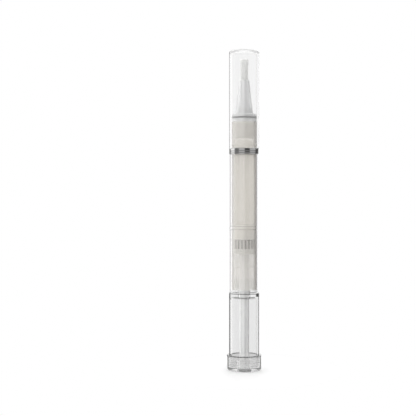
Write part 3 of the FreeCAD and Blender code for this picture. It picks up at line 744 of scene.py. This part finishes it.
def clear_tail():
    finish = ClearFinish("rear_sleeve", clearness=0.89, index=1.25, rim=0.03, rim_span=SHARP_RIM_SPAN)
    # Painted shade where the outline crosses the web inside the sleeve
    web_shade = finish.lines([WEB_HEIGHT], WEB_REACH)
    finish.darken(work_out(finish.tree, "MULTIPLY", finish.edge, web_shade), level=0.01)
    finish.darken(finish.spot_under(KNOB_REACH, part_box("end_knob")[1].z), level=0.89)
    # Painted shade lines at the shoulder and round the boss
    finish.darken(finish.lines([SHOULDER_HEIGHT], EDGE_REACH), level=0.12)
    finish.darken(finish.inner_lines([BOSS_HEIGHT], EDGE_REACH, BOSS_RADIUS), level=0.15)
    return finish.done()


def clear_knob():
    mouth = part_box("end_knob")[1].z
    finish = ClearFinish("end_knob", clearness=0.76, index=1.25, rim=0.03, rim_span=SHARP_RIM_SPAN)
    finish.darken(finish.spot_under(HUB_RADIUS, HUB_HEIGHT), level=0.97)
    # Painted shade along the knob's mouth edge
    finish.darken(finish.lines([mouth], MOUTH_REACH), level=0.05)
    # Painted shade in the recess under the knob, which is also made matt
    recess_shade_and_matt = finish.spot_under(GATE_RADIUS, GATE_HEIGHT)
    finish.darken(recess_shade_and_matt, level=0.35)
    finish.dull(recess_shade_and_matt, GATE_MATTNESS)
    return finish.done()


dress(clear_cap(), "cap_shell")
dress(clear_barrel(), "barrel_sleeve")
dress(clear_tail(), "rear_sleeve")
dress(clear_knob(), "end_knob")
dress(milky_plastic("milky_tube", MILKY_FACE, MILKY_LIMB_SHADE), "reservoir_tube")
dress(plated_trim("plated_trim"), "trim_ring")
dress(ferrule_plastic("frosted_ferrule", CONE_TINT, PLUG_SHADE_TINT), "brush_ferrule")
# The seal's dark grey is painted shade for the gap under the ferrule's flange
dress(moulded_plastic("soft_seal", *SEAL_SHADE_TINTS, roughness=0.45), "ferrule_seal")
dress(
    moulded_plastic("white_moulding", *WHITE_TINTS, roughness=0.4),
    "tuft_plug", "click_ring", "ratchet_ring",
)
dress(moulded_plastic("drawn_steel", *STEEL_TINTS, roughness=0.3), "feed_pipe")
dress(ribbed_plastic("grey_moulding", RIB_CREST_TINT, RIB_ROOT_PAINTED_SHADE), "drive_nut")
dress(driver_plastic("driver_moulding", SHAFT_TINT, FOOT_PAINTED_LIGHT_TINT), "driver_tube")
dress(moulded_plastic("piston_moulding", *PISTON_TINTS, roughness=0.45), "piston")

bristle_tuft(nylon_filament("nylon_filament"))
threaded_rod(moulded_plastic("rod_moulding", *ROD_TINTS, roughness=0.4))
oil_column(clear_oil("clear_oil"))


# Studio

# Light levels by bearing, in degrees to the right of the camera seen from the pen: the soft tent that
# lights the pen and shows through it, the dark board low round the table, and what gloss mirrors
SOFT_LIGHT = [
    (-180, 1.0), (-150, 1.05), (-126, 1.15), (-86, 1.15), (-78, 0.7), (-46, 0.7), (-41, 1.2), (-1, 1.2),
    (3, 0.3), (38, 0.3), (45, 0.75), (90, 0.75), (97, 0.25), (130, 0.25), (136, 0.95), (150, 1.05),
    (180, 1.0),
]
LOW_BOARD = [
    (-180, 1.0), (-160, 0.95), (-155, 0.04), (-138, 0.04), (-133, 1.2), (-40, 1.15), (0, 1.0), (45, 0.85),
    (90, 0.7), (155, 0.9), (168, 0.95), (180, 1.0),
]
MIRRORED_LIGHT = [
    (-180, 1.8), (-178, 1.8), (-174, 0.45), (-133, 0.45), (-126, 1.9), (-86, 1.9), (-78, 0.3), (-46, 0.3),
    (-41, 0.9), (-1, 0.9), (3, 0.1), (38, 0.1), (45, 0.85), (90, 0.85), (97, 0.2), (135, 0.2), (141, 2.0),
    (180, 1.8),
]
OVERHEAD_LIGHT = 1.7
STEEP_LIGHT = 1.05
OVERHEAD_SPAN = (0.6, 0.9)
STEEP_SPAN = (0.45, 0.75)
BOARD_RISE = -0.0866
BOARD_SPAN = (0.002, 0.005)
DEGREES_ROUND = 360
WHITE = grey(1)


def studio_floor():
    bm = bmesh.new()
    bmesh.ops.create_circle(
        bm, cap_ends=True, segments=TURNED_STEPS, radius=FLOOR_RADIUS,
        matrix=Matrix.Translation(-UP * FLOOR_DROP),
    )
    mesh = bpy.data.meshes.new("pale_floor")
    bm.to_mesh(mesh)
    bm.free()
    mesh.materials.append(moulded_plastic("pale_floor", *FLOOR_TINTS, roughness=0.6))
    floor = bpy.data.objects.new("pale_floor", mesh)
    bpy.context.scene.collection.objects.link(floor)


def light_by_bearing(tree, turn, stops):
    """A ramp of light levels round the pen."""
    levels = add(tree, "ShaderNodeValToRGB", {"Fac": turn})
    elements = levels.color_ramp.elements
    places = [degrees / DEGREES_ROUND + 0.5 for degrees, _ in stops]
    for place in places[1:-1]:
        elements.new(place)
    for element, place, (_, level) in zip(elements, places, stops):
        element.position = place
        element.color = grey(level)
    return levels.outputs["Color"]


def studio_walls():
    """A white tent with dark flags between its lamps, plain white where the camera looks past the pen."""
    world = bpy.data.worlds.new("studio_tent")
    bpy.context.scene.world = world
    world.use_nodes = True
    tree = world.node_tree
    tree.nodes.clear()
    towards = add(tree, "ShaderNodeTexCoord").outputs["Generated"]
    parts = add(tree, "ShaderNodeSeparateXYZ", {"Vector": towards}).outputs
    nearer = work_out(tree, "MULTIPLY", parts["Y"], -1.0)
    bearing = work_out(tree, "ARCTAN2", parts["X"], nearer)
    turn = add(tree, "ShaderNodeMapRange", {
        "Value": bearing, "From Min": -math.pi, "From Max": math.pi,
    }).outputs["Result"]
    off_board = work_out(tree, "ABSOLUTE", work_out(tree, "SUBTRACT", parts["Z"], BOARD_RISE))
    board = ramp(tree, off_board, *BOARD_SPAN, 1.0, 0.0)
    around = light_by_bearing(tree, turn, SOFT_LIGHT)
    soft = blend(tree, board, around, light_by_bearing(tree, turn, LOW_BOARD))
    overhead = ramp(tree, parts["Z"], *OVERHEAD_SPAN)
    tent = blend(tree, overhead, soft, grey(OVERHEAD_LIGHT))
    steep = ramp(tree, work_out(tree, "ABSOLUTE", parts["Z"]), *STEEP_SPAN)
    mirrored = blend(tree, steep, light_by_bearing(tree, turn, MIRRORED_LIGHT), grey(STEEP_LIGHT))
    path = add(tree, "ShaderNodeLightPath").outputs
    walls = blend(tree, path["Is Glossy Ray"], tent, mirrored)
    walls = blend(tree, path["Is Transmission Ray"], walls, tent)
    seen = blend(tree, path["Is Camera Ray"], walls, WHITE)
    light = add(tree, "ShaderNodeBackground", {"Color": seen, "Strength": 1.0})
    tree.links.new(light.outputs["Background"], add(tree, "ShaderNodeOutputWorld").inputs["Surface"])


def studio_camera():
    lens = bpy.data.cameras.new("studio_camera")
    lens.sensor_width = SENSOR_WIDTH
    lens.lens = SENSOR_WIDTH * FOCAL_PIXELS / IMAGE_WIDTH
    camera = bpy.data.objects.new("studio_camera", lens)
    camera.location = (CAMERA_SIDE, -CAMERA_DISTANCE, CAMERA_HEIGHT)
    camera.rotation_euler = (math.pi / 2, 0, 0)
    bpy.context.scene.collection.objects.link(camera)
    bpy.context.scene.camera = camera


def deep_glass():
    """Plain tones, and bounces enough for light to pass through all the nested clear walls."""
    scene = bpy.context.scene
    scene.view_settings.view_transform = "Standard"
    scene.cycles.max_bounces = 40
    scene.cycles.transmission_bounces = 40
    scene.cycles.glossy_bounces = 12
    scene.cycles.transparent_max_bounces = 40
    scene.cycles.use_denoising = True


studio_floor()
studio_walls()
studio_camera()
deep_glass()
